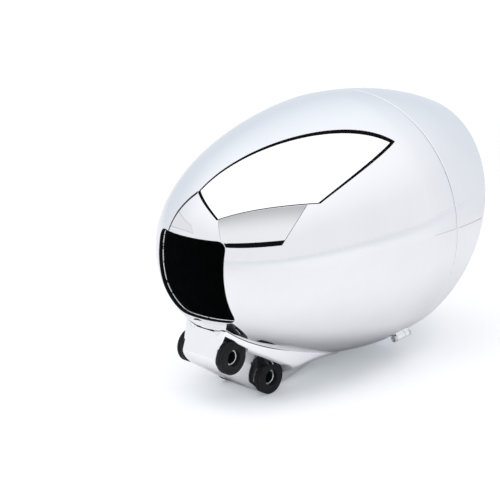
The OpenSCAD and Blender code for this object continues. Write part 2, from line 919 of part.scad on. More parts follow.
module block_bolts() {
    first = -shell_t - saddle_gap - bolt_reach + seat;
    head = spot_h + washer_t;
    color(steel_c)
        at_bolts() {
            translate([0, 0, head])
                cylinder(r = bolt_head_r, h = bolt_head_h, $fn = 6);
            translate([0, 0, first])
                cylinder(r = bolt_r, h = head - first + over);
        }
}

headlight_shell();
shell_dome();
bezel();
bezel_screws();
bezel_nuts();
lens_rim();
lens_seal();
lens();
reflector();
rim_clips();
bulb_glass();
bulb_base();
bulb_terminals();
bulb_clip();
rubber_boot();
mounting_block();
rear_bush_left();
rear_bush_right();
front_bush_left();
front_bush_right();
rear_sleeve();
front_sleeve();
backing_plate();
block_washers();
block_bolts();
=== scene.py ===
import math

import bmesh
import bpy
from mathutils import Matrix, Vector


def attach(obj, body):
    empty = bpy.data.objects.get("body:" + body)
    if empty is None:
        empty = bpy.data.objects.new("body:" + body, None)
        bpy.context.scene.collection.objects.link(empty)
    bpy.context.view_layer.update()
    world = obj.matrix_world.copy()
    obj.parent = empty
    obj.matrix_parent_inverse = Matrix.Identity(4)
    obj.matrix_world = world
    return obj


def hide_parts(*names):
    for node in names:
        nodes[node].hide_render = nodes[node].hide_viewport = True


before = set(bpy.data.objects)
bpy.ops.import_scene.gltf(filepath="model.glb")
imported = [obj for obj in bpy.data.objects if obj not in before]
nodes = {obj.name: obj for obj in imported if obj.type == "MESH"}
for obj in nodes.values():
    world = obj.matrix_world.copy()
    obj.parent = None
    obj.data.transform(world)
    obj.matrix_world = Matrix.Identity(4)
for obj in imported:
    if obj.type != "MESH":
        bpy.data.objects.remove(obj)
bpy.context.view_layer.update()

MM = 0.001

# Headlight shell: one deep-drawn steel bullet, chromed outside and painted satin black inside.
# The opening at the rear is punched out and its edge is turned into the shell, where the
# assembly of the wiring has rubbed the black paint off down to bright steel.
body_r = 95
wide_depth = 152
rear_p, rear_q = 1.52, 2.51
front_len = 170
front_p, front_q = 2.09, 2.18
pole_y = 21.8
axis_h = 63.7
shell_t = 1.2
seam_depth = 174
seam_gap = 0.4
shell_end = seam_depth - seam_gap / 2
round_steps = 192
# Places nearer to each other than this, in metres, are one
weld = 1e-7


def body_at(depth):
    """Radius of the bullet at a distance forward from its rear pole."""
    if depth < wide_depth:
        u = (wide_depth - depth) / wide_depth
        return body_r * (1 - u**rear_p) ** (1 / rear_q)
    u = (depth - wide_depth) / front_len
    return body_r * (1 - u**front_p) ** (1 / front_q)


def depth_at(radius):
    """Distance forward from the rear pole at which the rear dome has a radius."""
    return wide_depth * (1 - (1 - (radius / body_r) ** rear_q) ** (1 / rear_p))


def wall_point(depth, inset):
    """A point of the bullet's outline, moved square to its surface."""
    step = 0.001
    slope = (body_at(depth + step) - body_at(depth)) / step
    n = math.hypot(1, slope)
    return body_at(depth) - inset / n, depth + inset * slope / n


# Carries a lathe shape's +Z on to the lamp's axis
on_axis = Matrix.Translation((0, pole_y * MM, axis_h * MM)) @ Matrix.Rotation(math.radians(90), 4, "X")


def turned(outline, place, steps=round_steps, closed=True):
    """A shape turned on a lathe from an outline of (radius, height) in millimetres."""
    bm = bmesh.new()
    verts = [bm.verts.new((r * MM, 0, h * MM)) for r, h in outline]
    for a, b in zip(verts, verts[1:]):
        bm.edges.new((a, b))
    if closed:
        bm.edges.new((verts[-1], verts[0]))
    bmesh.ops.spin(bm, geom=bm.verts[:] + bm.edges[:], cent=(0, 0, 0), axis=(0, 0, 1), dvec=(0, 0, 0),
                   angle=math.radians(360), steps=steps, use_merge=True, use_duplicate=False)
    bmesh.ops.remove_doubles(bm, verts=bm.verts[:], dist=weld)
    bmesh.ops.recalc_face_normals(bm, faces=bm.faces[:])
    bmesh.ops.transform(bm, matrix=place, verts=bm.verts[:])
    return bm


def crease(bm, degrees):
    """Keeps the edges sharper than an angle crisp, and smooths the rest."""
    for face in bm.faces:
        face.smooth = True
    for edge in bm.edges:
        edge.smooth = len(edge.link_faces) == 2 and edge.calc_face_angle(0) < math.radians(degrees)


def shown(name, bm, materials):
    """Makes a mesh an object of the scene, with its materials."""
    mesh = bpy.data.meshes.new(name)
    bm.to_mesh(mesh)
    bm.free()
    for material in materials:
        mesh.materials.append(material)
    obj = bpy.data.objects.new(name, mesh)
    bpy.context.scene.collection.objects.link(obj)
    return obj


def fitted(name, bm, materials, slot, *replaced, sharp=30):
    """Makes a mesh a finished piece of the lamp that stands for its solids."""
    crease(bm, sharp)
    obj = shown(name, bm, materials)
    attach(obj, "root")
    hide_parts(*replaced)


def node_of(tree, kind, **values):
    """A shader node: names in small letters are its own settings, and the others its inputs."""
    node = tree.nodes.new("ShaderNode" + kind)
    for name, value in values.items():
        if name.islower():
            setattr(node, name, value)
        else:
            node.inputs[name.replace("_", " ")].default_value = value
    return node


def wired(tree, *pairs):
    """Joins each output of some nodes to its input."""
    for output, socket in pairs:
        tree.links.new(output, socket)


def effect(name, inputs, outputs):
    """An empty node group with named inputs and outputs."""
    group = bpy.data.node_groups.new(name, "ShaderNodeTree")
    for label, kind, default in inputs:
        socket = group.interface.new_socket(label, in_out="INPUT", socket_type=kind)
        if default is not None:
            socket.default_value = default
    for label, kind in outputs:
        group.interface.new_socket(label, in_out="OUTPUT", socket_type=kind)
    return group, group.nodes.new("NodeGroupInput").outputs, group.nodes.new("NodeGroupOutput").inputs


def mottle_group():
    """Soft cloudy variation: a value between two limits."""
    group, took, gave = effect("mottle", [
        ("Place", "NodeSocketVector", None), ("Scale", "NodeSocketFloat", 40.0),
        ("Low", "NodeSocketFloat", 0.0), ("High", "NodeSocketFloat", 1.0)], [("Value", "NodeSocketFloat")])
    noise = node_of(group, "TexNoise", Detail=4.0, Roughness=0.6)
    spread = node_of(group, "MapRange", From_Min=0.32, From_Max=0.68)
    wired(group, (took["Place"], noise.inputs["Vector"]), (took["Scale"], noise.inputs["Scale"]),
          (noise.outputs["Fac"], spread.inputs["Value"]), (took["Low"], spread.inputs["To Min"]),
          (took["High"], spread.inputs["To Max"]), (spread.outputs["Result"], gave["Value"]))
    return group


def grain_group():
    """Fine surface grain: a bumped normal."""
    group, took, gave = effect("grain", [
        ("Place", "NodeSocketVector", None), ("Scale", "NodeSocketFloat", 600.0),
        ("Depth", "NodeSocketFloat", 0.00002)], [("Normal", "NodeSocketVector")])
    noise = node_of(group, "TexNoise", Detail=3.0)
    bump = node_of(group, "Bump", Strength=1.0)
    wired(group, (took["Place"], noise.inputs["Vector"]), (took["Scale"], noise.inputs["Scale"]),
          (noise.outputs["Fac"], bump.inputs["Height"]), (took["Depth"], bump.inputs["Distance"]),
          (bump.outputs["Normal"], gave["Normal"]))
    return group


def speckle_group():
    """Sparse small flecks: a mask that is 1 on a fleck."""
    group, took, gave = effect("speckle", [
        ("Place", "NodeSocketVector", None), ("Scale", "NodeSocketFloat", 300.0),
        ("Cover", "NodeSocketFloat", 0.1)], [("Mask", "NodeSocketFloat")])
    noise = node_of(group, "TexNoise", Detail=2.0)
    share = node_of(group, "Math", operation="MULTIPLY")
    share.inputs[1].default_value = 0.5
    first = node_of(group, "Math", operation="SUBTRACT")
    first.inputs[0].default_value = 0.78
    last = node_of(group, "Math", operation="ADD")
    last.inputs[1].default_value = 0.04
    edge = node_of(group, "MapRange", interpolation_type="SMOOTHSTEP")
    wired(group, (took["Place"], noise.inputs["Vector"]), (took["Scale"], noise.inputs["Scale"]),
          (took["Cover"], share.inputs[0]), (share.outputs[0], first.inputs[1]),
          (first.outputs[0], edge.inputs["From Min"]), (first.outputs[0], last.inputs[0]),
          (last.outputs[0], edge.inputs["From Max"]), (noise.outputs["Fac"], edge.inputs["Value"]),
          (edge.outputs["Result"], gave["Mask"]))
    return group


mottle, grain, speckle = mottle_group(), grain_group(), speckle_group()


def placed(tree, group, place, **values):
    """One of the shared effects, put into a material with its own values."""
    node = node_of(tree, "Group", node_tree=group, **values)
    tree.links.new(place, node.inputs["Place"])
    return node.outputs


def blended(tree, mask, first, second):
    """A colour that goes from one to another where a mask says so: each is plain or an output."""
    mix = node_of(tree, "Mix", data_type="RGBA")
    tree.links.new(mask, mix.inputs["Factor"])
    for name, colour in (("A", first), ("B", second)):
        if isinstance(colour, tuple):
            mix.inputs[name].default_value = (*colour, 1)
        else:
            tree.links.new(colour, mix.inputs[name])
    return mix.outputs["Result"]


def shaded(name, **plain):
    """A material with its shader's plain values set."""
    material = bpy.data.materials.new(name)
    material.use_nodes = True
    for socket, value in plain.items():
        material.node_tree.nodes["Principled BSDF"].inputs[socket.replace("_", " ")].default_value = value
    return material


def surfaced(name, colours=None, clouds=None, flecks=None, haze=None, marks=None, **plain):
    """A material whose two colours meet in clouds or flecks.

    clouds is the clouds' scale, flecks the flecks' scale and cover, haze the scale and limits of the
    roughness, marks the scale and depth of fine marks, and plain the shader's own values.
    """
    material = shaded(name, **plain)
    tree = material.node_tree
    shader = tree.nodes["Principled BSDF"].inputs
    place = node_of(tree, "TexCoord").outputs["Object"]
    if clouds:
        mask = placed(tree, mottle, place, Scale=clouds, Low=0.0, High=1.0)["Value"]
    if flecks:
        mask = placed(tree, speckle, place, Scale=flecks[0], Cover=flecks[1])["Mask"]
    if colours:
        tree.links.new(blended(tree, mask, *colours), shader["Base Color"])
    if haze:
        rough = placed(tree, mottle, place, Scale=haze[0], Low=haze[1], High=haze[2])
        tree.links.new(rough["Value"], shader["Roughness"])
    if marks:
        bumped = placed(tree, grain, place, Scale=marks[0], Depth=marks[1])
        tree.links.new(bumped["Normal"], shader["Normal"])
    return material


def plated(name, light, dull, rough_low, rough_high, depth):
    """Bright plate with faint cloudiness, a trace of handling and fine polishing marks."""
    return surfaced(name, (light, dull), clouds=22.0, haze=(75.0, rough_low, rough_high),
                    marks=(900.0, depth), Metallic=1.0)


def painted(name, colour, dust, cover, rough_low, rough_high, shine=0.35):
    """Satin paint with a fine orange-peel surface and a few specks of dust."""
    return surfaced(name, (colour, dust), flecks=(420.0, cover), haze=(60.0, rough_low, rough_high),
                    marks=(1400.0, 0.00001), Specular_IOR_Level=shine)


chrome = plated("chrome", (0.895, 0.898, 0.905), (0.87, 0.873, 0.882), 0.008, 0.028, 0.0)
inner_black = painted("satin black inside", (0.085, 0.09, 0.10), (0.22, 0.22, 0.22), 0.10, 0.42, 0.58)
# Bare steel that shows in flecks through what is left of the black paint
edge_steel = surfaced("rubbed edge", ((0.03, 0.03, 0.03), (0.90, 0.90, 0.90)), flecks=(520.0, 0.80),
                      haze=(400.0, 0.18, 0.42), Metallic=1.0)
# Darker than the inside paint: black paint and painted shade on the turned edge, painted shade at the seam
black_paint_and_shade = painted("black paint and painted shade", (0.006, 0.006, 0.007), (0.03, 0.03, 0.03), 0.05, 0.6, 0.75,
                     shine=0.08)
shell_finishes = [chrome, inner_black, edge_steel, black_paint_and_shade]
on_chrome, on_paint, on_steel, on_black_paint_and_shade = range(4)

# The outline's places crowd together at the pole, where the dome is blunt
pole_crowd = 2.4
dome_steps, front_steps, inner_steps = 84, 10, 40
# Rounding of the sheet's edge at the seam, and how far the middle of the round lies from its corner
seam_round, seam_nick = 0.3, 0.09
shell_outline = [wall_point(wide_depth * (i / dome_steps) ** pole_crowd, 0) for i in range(1, dome_steps + 1)]
shell_outline += [wall_point(wide_depth + (shell_end - seam_round - wide_depth) * i / front_steps, 0)
                  for i in range(1, front_steps + 1)]
front_r = body_at(shell_end)
shell_outline += [(front_r - seam_nick, shell_end - seam_nick), (front_r - seam_round, shell_end),
                  (front_r - shell_t, shell_end)]
inner_outline = [wall_point(wide_depth * (i / inner_steps) ** pole_crowd, shell_t)
                 for i in range(1, inner_steps + 1)]
inner_outline += [(front_r - shell_t, wide_depth + 12)]
shell_outline = [(0, 0)] + shell_outline + inner_outline[::-1] + [(0, shell_t)]
shell = turned(shell_outline, on_axis, closed=False)

mouth_half_w = 29.6
mouth_low, mouth_high = 28.6, 84.6
mouth_corner_r, mouth_wide_r = 5, 19
# The opening and its edge lie behind this Y, in metres
mouth_front = -0.02


def mouth_corners(grow):
    """Centre, radius and first angle of the opening's four corners."""
    w, c, v = mouth_half_w, mouth_corner_r, mouth_wide_r
    return [(w - c, mouth_high - c, c + grow, 0), (c - w, mouth_high - c, c + grow, 90),
            (c - w, mouth_low + c, c + grow, 180), (w - v, mouth_low + v, v + grow, 270)]


def into_mouth(p):
    """Unit direction in X and Z from a place beside the opening straight towards its inside."""
    x, z = p.x / MM, p.z / MM
    for cx, cz, _, first in mouth_corners(0):
        a = math.radians(first + 45)
        if (x - cx) * math.copysign(1, math.cos(a)) > 0 and (z - cz) * math.copysign(1, math.sin(a)) > 0:
            return Vector((cx - x, 0, cz - z)).normalized()
    gaps = {(-1, 0): abs(x - mouth_half_w), (1, 0): abs(x + mouth_half_w),
            (0, -1): abs(z - mouth_high), (0, 1): abs(z - mouth_low)}
    dx, dz = min(gaps, key=gaps.get)
    return Vector((dx, 0, dz))


def outer_y(p):
    """Y of the bullet's outer surface behind a place in X and Z."""
    radius = math.hypot(p.x / MM, p.z / MM - axis_h)
    return (pole_y - depth_at(radius)) * MM


mouth_line = []
for cx, cz, r, first in mouth_corners(shell_t):
    parts = 10 if r > 10 else 5
    for angle in (math.radians(first + 90 * i / parts) for i in range(parts + 1)):
        mouth_line.append(Vector((cx + r * math.cos(angle), 0, cz + r * math.sin(angle))) * MM)
mouth_sides = [(a, b, (b - a).cross(Vector((0, 1, 0))).normalized()) for a, b in
               zip(mouth_line, mouth_line[1:] + mouth_line[:1])]
middle = sum(mouth_line, Vector()) / len(mouth_line)
mouth_sides = [(a, b, n if n.dot(middle - a) < 0 else -n) for a, b, n in mouth_sides]


def by_side(face, a, b):
    """Whether a face lies close to one straight stretch of the opening's outline."""
    close_mm = 3.2
    c = face.calc_center_median()
    if c.y < mouth_front:
        return False
    c.y = 0
    along = max(0, min(1, (c - a).dot(b - a) / (b - a).length_squared))
    return (c - a.lerp(b, along)).length < close_mm * MM


for a, b, n in mouth_sides:
    close = [f for f in shell.faces if by_side(f, a, b)]
    edges = {e for f in close for e in f.edges}
    verts = {v for f in close for v in f.verts}
    bmesh.ops.bisect_plane(shell, geom=close + list(edges) + list(verts), dist=weld, plane_co=a, plane_no=n)
inside = [f for f in shell.faces if f.calc_center_median().y > mouth_front and
          all(n.dot(f.calc_center_median() - a) < 0 for a, _, n in mouth_sides)]
bmesh.ops.delete(shell, geom=inside, context="FACES")
rims = [e for e in shell.edges if e.is_boundary and e.verts[0].co.y > mouth_front]
outer_rim = [e for e in rims if abs(e.verts[0].co.y - outer_y(e.verts[0].co)) < 0.3 * MM]
inner_rim = [e for e in rims if e not in set(outer_rim)]
for v in {v for e in outer_rim for v in e.verts}:
    v.co.y = outer_y(v.co)
for face in shell.faces:
    c = face.calc_center_median()
    depth = pole_y - c.y / MM
    radius = math.hypot(c.x / MM, c.z / MM - axis_h)
    # The sheet's front end at the seam takes the near-black finish: painted shade in the seam gap
    if depth > shell_end - 0.01:
        face.material_index = on_black_paint_and_shade
    elif depth < shell_end - 0.05 and radius < body_at(max(depth, 0)) - shell_t / 2:
        face.material_index = on_paint

# Steps of the turned edge: how far into the opening, how far into the shell, and the finish.
# It bends inwards, runs straight, and ends in the rubbed bead, which is rounded.
lip_start, lip_in, lip_end = 0.4, 1.2, 3.95
bend_r = 0.8
bead_w, bead_h, bead_deep = 0.4, 0.55, 3.25
lip_steps = [(lip_start, 0.0, on_chrome)]
# The bend and the straight run take the near-black finish: black paint deepened with painted shade
lip_steps += [(lip_start + bend_r * math.sin(t), bend_r * (1 - math.cos(t)), on_black_paint_and_shade)
              for t in map(math.radians, (30, 60, 90))]
lip_steps += [(lip_in, bead_deep - bead_h, on_black_paint_and_shade)]
lip_steps += [(lip_in + bead_w * math.sin(t), bead_deep - bead_h * math.cos(t), on_steel)
              for t in map(math.radians, (25, 50, 75, 100, 125, 150, 180))]
lip_steps += [(1.05, lip_end, on_steel), (0.1, lip_end, on_steel), (0.0, lip_end - 0.15, on_paint),
              (0.0, 2.2, on_paint)]
starts = {}
loop = outer_rim
for into, down, finish in lip_steps:
    grown = bmesh.ops.extrude_edge_only(shell, edges=loop)["geom"]
    fresh = [g for g in grown if isinstance(g, bmesh.types.BMVert)]
    for v in fresh:
        old = next(e.other_vert(v) for e in v.link_edges if e.other_vert(v) not in fresh)
        starts[v] = starts.get(old, old.co.copy())
        first = starts[v]
        v.co = first + into_mouth(first) * into * MM
        if down == 0:
            v.co.y = outer_y(v.co)
        else:
            v.co.y = outer_y(first + into_mouth(first) * lip_start * MM) - down * MM
    for g in grown:
        if isinstance(g, bmesh.types.BMFace):
            g.material_index = finish
    loop = [g for g in grown if isinstance(g, bmesh.types.BMEdge) and g.is_boundary]
bmesh.ops.bridge_loops(shell, edges=loop + inner_rim)
bmesh.ops.recalc_face_normals(shell, faces=shell.faces[:])

# Bezel screws, screw tubes and nuts: two small screws stand fore and aft across the seam under the lamp.
# Each runs through a steel tube brazed under the shell and one on the bezel, and draws the two together.
screw_angle = 30
lug_r = 2.5
screw_r, screw_head_r, screw_head_h = 1.5, 2.4, 3.0
shell_lug_t, bezel_lug_t, nut_t = 9, 4.6, 2.4
bezel_start = seam_depth + seam_gap / 2
screw_centre_r = body_r + screw_head_r + 0.3
screw_len = screw_head_h + shell_lug_t + seam_gap + bezel_lug_t + nut_t + 0.3
# Play round the screw, how far a tube's neck sinks into the wall, and the rounding of the tube's ends
screw_play, neck_sink, lug_round = 0.15, 0.6, 0.3


def at_screw(side, depth):
    """Carries a lathe shape to a bezel screw, at a depth."""
    return (on_axis @ Matrix.Rotation(math.radians(side * screw_angle), 4, "Z")
            @ Matrix.Translation((0, -screw_centre_r * MM, depth * MM)))


def joined(target, extra):
    """Adds one mesh to another, in the other's first finish."""
    mesh = bpy.data.meshes.new("joining")
    extra.to_mesh(mesh)
    extra.free()
    target.from_mesh(mesh)
    bpy.data.meshes.remove(mesh)


def lug_shape(first, last, side):
    """A tube with a screw hole, on a neck that reaches into the wall beside it."""
    bm = bmesh.new()
    ring = bmesh.ops.create_circle(bm, cap_ends=False, segments=32, radius=lug_r * MM)["verts"]
    neck_h = screw_centre_r - body_at(last) + neck_sink
    for v in ring:
        if v.co.y > 0.7 * lug_r * MM:
            v.co.y = neck_h * MM
    bmesh.ops.create_circle(bm, cap_ends=False, segments=32, radius=(screw_r + screw_play) * MM)
    bmesh.ops.bridge_loops(bm, edges=bm.edges[:])
    grown = bmesh.ops.extrude_face_region(bm, geom=bm.faces[:])["geom"]
    top = [g for g in grown if isinstance(g, bmesh.types.BMVert)]
    bmesh.ops.translate(bm, vec=(0, 0, (last - first) * MM), verts=top)
    bmesh.ops.recalc_face_normals(bm, faces=bm.faces[:])
    outer = [e for e in bm.edges if abs(e.calc_face_angle(0) - math.pi / 2) < 0.4
             and min(v.co.xy.length for v in e.verts) > (screw_r + 0.6) * MM
             and max(v.co.y for v in e.verts) < lug_r * MM]
    bmesh.ops.bevel(bm, geom=outer, offset=lug_round * MM, segments=2, profile=0.5, affect="EDGES",
                    material=-1)
    bmesh.ops.transform(bm, matrix=at_screw(side, first), verts=bm.verts[:])
    return bm


for side in (-1, 1):
    joined(shell, lug_shape(shell_end - shell_lug_t, shell_end, side))
fitted("shell_skin", shell, shell_finishes, "chrome", "headlight_shell", "shell_dome", sharp=50)

zinc = plated("zinc plate", (0.72, 0.725, 0.74), (0.60, 0.605, 0.62), 0.22, 0.36, 0.00001)
head_back = shell_end - shell_lug_t - screw_head_h
socket_r, socket_deep, socket_lip = screw_head_r * 0.5, 1.8, 0.2
head_round, tip_round = 0.35, 0.3
cap = [(0, socket_deep), (socket_r, socket_deep), (socket_r, socket_lip), (screw_head_r * 0.6, 0),
       (screw_head_r - head_round, 0), (screw_head_r, head_round), (screw_head_r, screw_head_h),
       (screw_r, screw_head_h), (screw_r, screw_len - tip_round), (screw_r - tip_round, screw_len),
       (0, screw_len)]
nut = [(screw_r + 0.05, 0), (lug_r * 0.95, 0), (lug_r * 0.95, nut_t), (screw_r + 0.05, nut_t)]
screws, nuts = bmesh.new(), bmesh.new()
for side in (-1, 1):
    joined(screws, turned(cap, at_screw(side, head_back), steps=36, closed=False))
    joined(nuts, turned(nut, at_screw(side, bezel_start + bezel_lug_t), steps=6))
fitted("bezel_screw_set", screws, [zinc], "zinc_steel", "bezel_screws", sharp=40)
fitted("bezel_nut_set", nuts, [zinc], "zinc_steel", "bezel_nuts", sharp=20)

# Bezel: chromed trim ring with a brow that leans out over the lens, pressed from sheet.
# Its skirt reaches back inside the shell behind a fine seam, and its edge is rounded over.
bezel_t = 1.5
chin_depth = 185.5
brow_depth = 212.5
brow_lean = math.radians(25.5)
skirt_len, skirt_t, skirt_lip = 9, 1.3, 2.4
# The brow ends at this share of the body's radius over the axis
brow_share = 0.86
bezel_steps = 52
brow_run = brow_depth + brow_share * body_r * math.tan(brow_lean) - bezel_start
start_r = body_at(bezel_start)
bezel_outline = [(start_r - seam_round, bezel_start), (start_r - seam_nick, bezel_start + seam_nick)]
bezel_outline += [wall_point(bezel_start + seam_round + brow_run * i / bezel_steps, 0)
                  for i in range(bezel_steps + 1)]
bezel_inner = [wall_point(bezel_start + bezel_t + (brow_run - bezel_t) * i / bezel_steps, bezel_t)
               for i in range(bezel_steps + 1)]
skirt_r = body_at(shell_end) - shell_t - 0.3
skirt_back = seam_depth - skirt_len
skirt = [(skirt_r - skirt_t, bezel_start + bezel_t), (skirt_r - skirt_t, skirt_back + skirt_t),
         (skirt_r - skirt_lip, skirt_back + skirt_t), (skirt_r - skirt_lip, skirt_back),
         (skirt_r, skirt_back), (skirt_r, bezel_start)]
bezel = turned(bezel_outline + bezel_inner[::-1] + skirt, on_axis)


def sliced(bm, through, square_to, **kept):
    """Cuts a mesh along a plane."""
    bmesh.ops.bisect_plane(bm, geom=bm.verts[:] + bm.edges[:] + bm.faces[:], dist=weld,
                           plane_co=through, plane_no=square_to, **kept)


def past_brow(face):
    """Whether a face lies ahead of the bezel's chin and brow."""
    at = face.calc_center_median() / MM
    return pole_y - at.y > max(chin_depth, brow_depth + (at.z - axis_h) * math.tan(brow_lean))


sliced(bezel, (0, (pole_y - chin_depth) * MM, axis_h * MM), (0, -1, 0))
sliced(bezel, (0, (pole_y - brow_depth) * MM, axis_h * MM), (0, -math.cos(brow_lean), -math.sin(brow_lean)))
bmesh.ops.delete(bezel, geom=[f for f in bezel.faces if past_brow(f)], context="FACES")
bmesh.ops.bridge_loops(bezel, edges=[e for e in bezel.edges if e.is_boundary])
bmesh.ops.recalc_face_normals(bezel, faces=bezel.faces[:])
# The bezel's back edge and skirt at the seam take the near-black finish: painted shade in the seam gap
for face in bezel.faces:
    at = face.calc_center_median() / MM
    if pole_y - at.y < bezel_start + 0.01 and math.hypot(at.x, at.z - axis_h) > skirt_r - 0.5:
        face.material_index = 1
for side in (-1, 1):
    joined(bezel, lug_shape(bezel_start, bezel_start + bezel_lug_t, side))
fitted("bezel_ring", bezel, [chrome, black_paint_and_shade], "chrome", "bezel", sharp=50)

# Lens rim: plated ring that frames the glass and holds it, its seal and the reflector together.
# It is rolled from strip and lies just inside the bezel's chin.
rim_t = 1.2
rim_inner_r = 80
seal_t = 1.6
lens_r, lens_edge_t, lens_dome_t, lens_rise, lens_land = 86.5, 3.6, 3.2, 13, 6
reflector_t = 1.2
seat = 0.3
rim_back = chin_depth - rim_t - seat
seal_front = rim_back - seat
lens_front = seal_front - seal_t
lens_back = lens_front - lens_edge_t
reflector_front = lens_back - seat / 3
reflector_back = reflector_front - reflector_t
seal_back = reflector_back - seal_t
rim_flange_r = body_at(chin_depth) - bezel_t - seat
rim_outer_r = body_at(shell_end) - shell_t - skirt_t - 2 * seat
rim_front = rim_back + rim_t
rim_round, rim_nick = 0.45, 0.13
rim_outline = [(rim_inner_r, rim_back), (rim_inner_r, rim_front - rim_round),
               (rim_inner_r + rim_nick, rim_front - rim_nick), (rim_inner_r + rim_round, rim_front),
               (rim_flange_r - rim_round, rim_front), (rim_flange_r, rim_front - rim_round),
               (rim_flange_r, rim_back), (rim_outer_r, rim_back), (rim_outer_r, seal_back),
               (rim_outer_r - rim_t, seal_back), (rim_outer_r - rim_t, rim_back)]
fitted("lens_rim_ring", turned(rim_outline, on_axis), [chrome], "chrome", "lens_rim", sharp=50)

# Lens seal: black rubber ring of U section round the edge of the glass.
# It keeps water out of the reflector and the lens from rattling.
rubber = surfaced("moulded rubber", ((0.007, 0.007, 0.008), (0.016, 0.016, 0.018)), clouds=55.0,
                  haze=(120.0, 0.45, 0.68), marks=(1100.0, 0.00003), Specular_IOR_Level=0.18)


def dressed(name, material):
    """Gives a solid that keeps its own mesh its finish."""
    mesh = nodes[name].data
    mesh.materials.clear()
    mesh.materials.append(material)


dressed("lens_seal", rubber)

# Lens: pressed clear glass, smooth and domed outside, with upright flutes pressed into its inner face.
# The rim clamps its flat edge through the seal.
glass = surfaced("pressed glass", ((0.97, 0.985, 0.99), (0.93, 0.955, 0.965)), clouds=30.0,
                 marks=(90.0, 0.00004), Roughness=0.0, IOR=1.5, Transmission_Weight=1.0)
dome_foot_r = rim_inner_r - seat
dome_r = (dome_foot_r**2 + lens_rise**2) / (2 * lens_rise)
land_r = lens_r - lens_land
hollow_r = land_r - lens_dome_t / 2


def dome_h(r, sphere):
    """Height of a domed face over the lens's flat edge."""
    return math.sqrt(sphere**2 - r * r) - (dome_r - lens_rise)


outer_rings, inner_rings = 24, 56
outer_face = [(r, lens_front + dome_h(r, dome_r))
              for r in (dome_foot_r * (1 - i / outer_rings) for i in range(1, outer_rings + 1))]
inner_face = [(r, lens_front + dome_h(r, dome_r - lens_dome_t))
              for r in (hollow_r * i / inner_rings for i in range(inner_rings + 1))]
lens_outline = [(lens_r, lens_front), (dome_foot_r, lens_front)] + outer_face
lens_outline += inner_face + [(land_r, lens_back), (lens_r, lens_back), (lens_r, lens_front)]
lens = turned(lens_outline, on_axis, steps=224, closed=False)
# The flutes' pitch and height, and how far from the hollow's edge they reach their full height
flute_pitch, flute_h, flute_fade = 7.0, 0.8, 6
for v in lens.verts:
    x, z = v.co.x / MM, v.co.z / MM - axis_h
    radius = math.hypot(x, z)
    depth = pole_y - v.co.y / MM
    if radius < hollow_r and depth < lens_front + dome_h(radius, dome_r) - lens_dome_t / 2:
        fade = min(1, (hollow_r - radius) / flute_fade)
        v.co.y += flute_h * fade * abs(math.cos(math.pi * x / flute_pitch)) * MM
fitted("lens_glass", lens, [glass], "lens_glass", "lens", sharp=70)

# Reflector: steel bowl spun to a parabola and plated mirror bright, with a flange behind the lens
# and a short neck at its middle that takes the bulb.
mirror = plated("mirror plate", (0.95, 0.955, 0.96), (0.92, 0.925, 0.935), 0.01, 0.03, 0.0)
reflector_f, neck_r, neck_len = 27, 19, 9
bowl_steps = 48
bowl_rim_r = lens_r - lens_land - reflector_t
bowl_vertex = reflector_back - bowl_rim_r**2 / (4 * reflector_f)


def bowl_depth(r):
    """Depth of the parabola at a radius."""
    return bowl_vertex + r * r / (4 * reflector_f)


bowl = [neck_r + (bowl_rim_r - neck_r) * i / bowl_steps for i in range(bowl_steps + 1)]
neck_back = bowl_depth(neck_r) - neck_len
bowl_outline = [(neck_r, neck_back)] + [(r, bowl_depth(r)) for r in bowl]
bowl_outline += [(bowl_rim_r, reflector_front), (lens_r, reflector_front), (lens_r, reflector_back)]
bowl_outline += [(r + reflector_t, bowl_depth(r)) for r in bowl[::-1]] + [(neck_r + reflector_t, neck_back)]
fitted("reflector_bowl", turned(bowl_outline, on_axis), [mirror], "reflector_mirror", "reflector", sharp=35)

# Spring clips: strip-steel tongues that hook behind the bezel's skirt
# and press the reflector, lens and seal forward against the rim.
dressed("rim_clips", zinc)

# Bulb: a tubular glass envelope on a steel barrel, with a flange, a cap and flat terminals.
# It drops into the reflector's neck from behind and a bent wire holds it there.
bulb_r, bulb_len, barrel_r, barrel_len = 8.5, 44, 11, 12
flange_r, flange_t, cap_len, cap_r = 21, 1.6, 9, 15
flange_front = neck_back - seat
flange_back = flange_front - flange_t
clear_glass = surfaced("clear tube glass", marks=(160.0, 0.00002), Roughness=0.0, IOR=1.47,
                       Transmission_Weight=1.0)
tube_foot = flange_front + barrel_len
tube_top = tube_foot + bulb_len
tube = [(0, tube_foot), (bulb_r, tube_foot), (bulb_r, tube_top - bulb_r)]
tube += [(bulb_r * math.cos(math.radians(a)), tube_top - bulb_r + bulb_r * math.sin(math.radians(a)))
         for a in range(10, 90, 10)] + [(0, tube_top)]
fitted("bulb_tube", turned(tube, on_axis, steps=48, closed=False), [clear_glass], "bulb_glass", "bulb_glass",
       sharp=40)
cap_back = flange_back - cap_len
base = [(0, tube_foot), (barrel_r - 0.4, tube_foot), (barrel_r, tube_foot - 0.4), (barrel_r, flange_front),
        (flange_r - 0.3, flange_front), (flange_r, flange_front - 0.3), (flange_r, flange_back + 0.3),
        (flange_r - 0.3, flange_back), (cap_r, flange_back), (cap_r, cap_back + 0.6),
        (cap_r - 0.6, cap_back), (0, cap_back)]
fitted("bulb_barrel", turned(base, on_axis, steps=72, closed=False), [zinc], "zinc_steel", "bulb_base",
       sharp=40)
dressed("bulb_terminals", zinc)
dressed("bulb_clip", zinc)

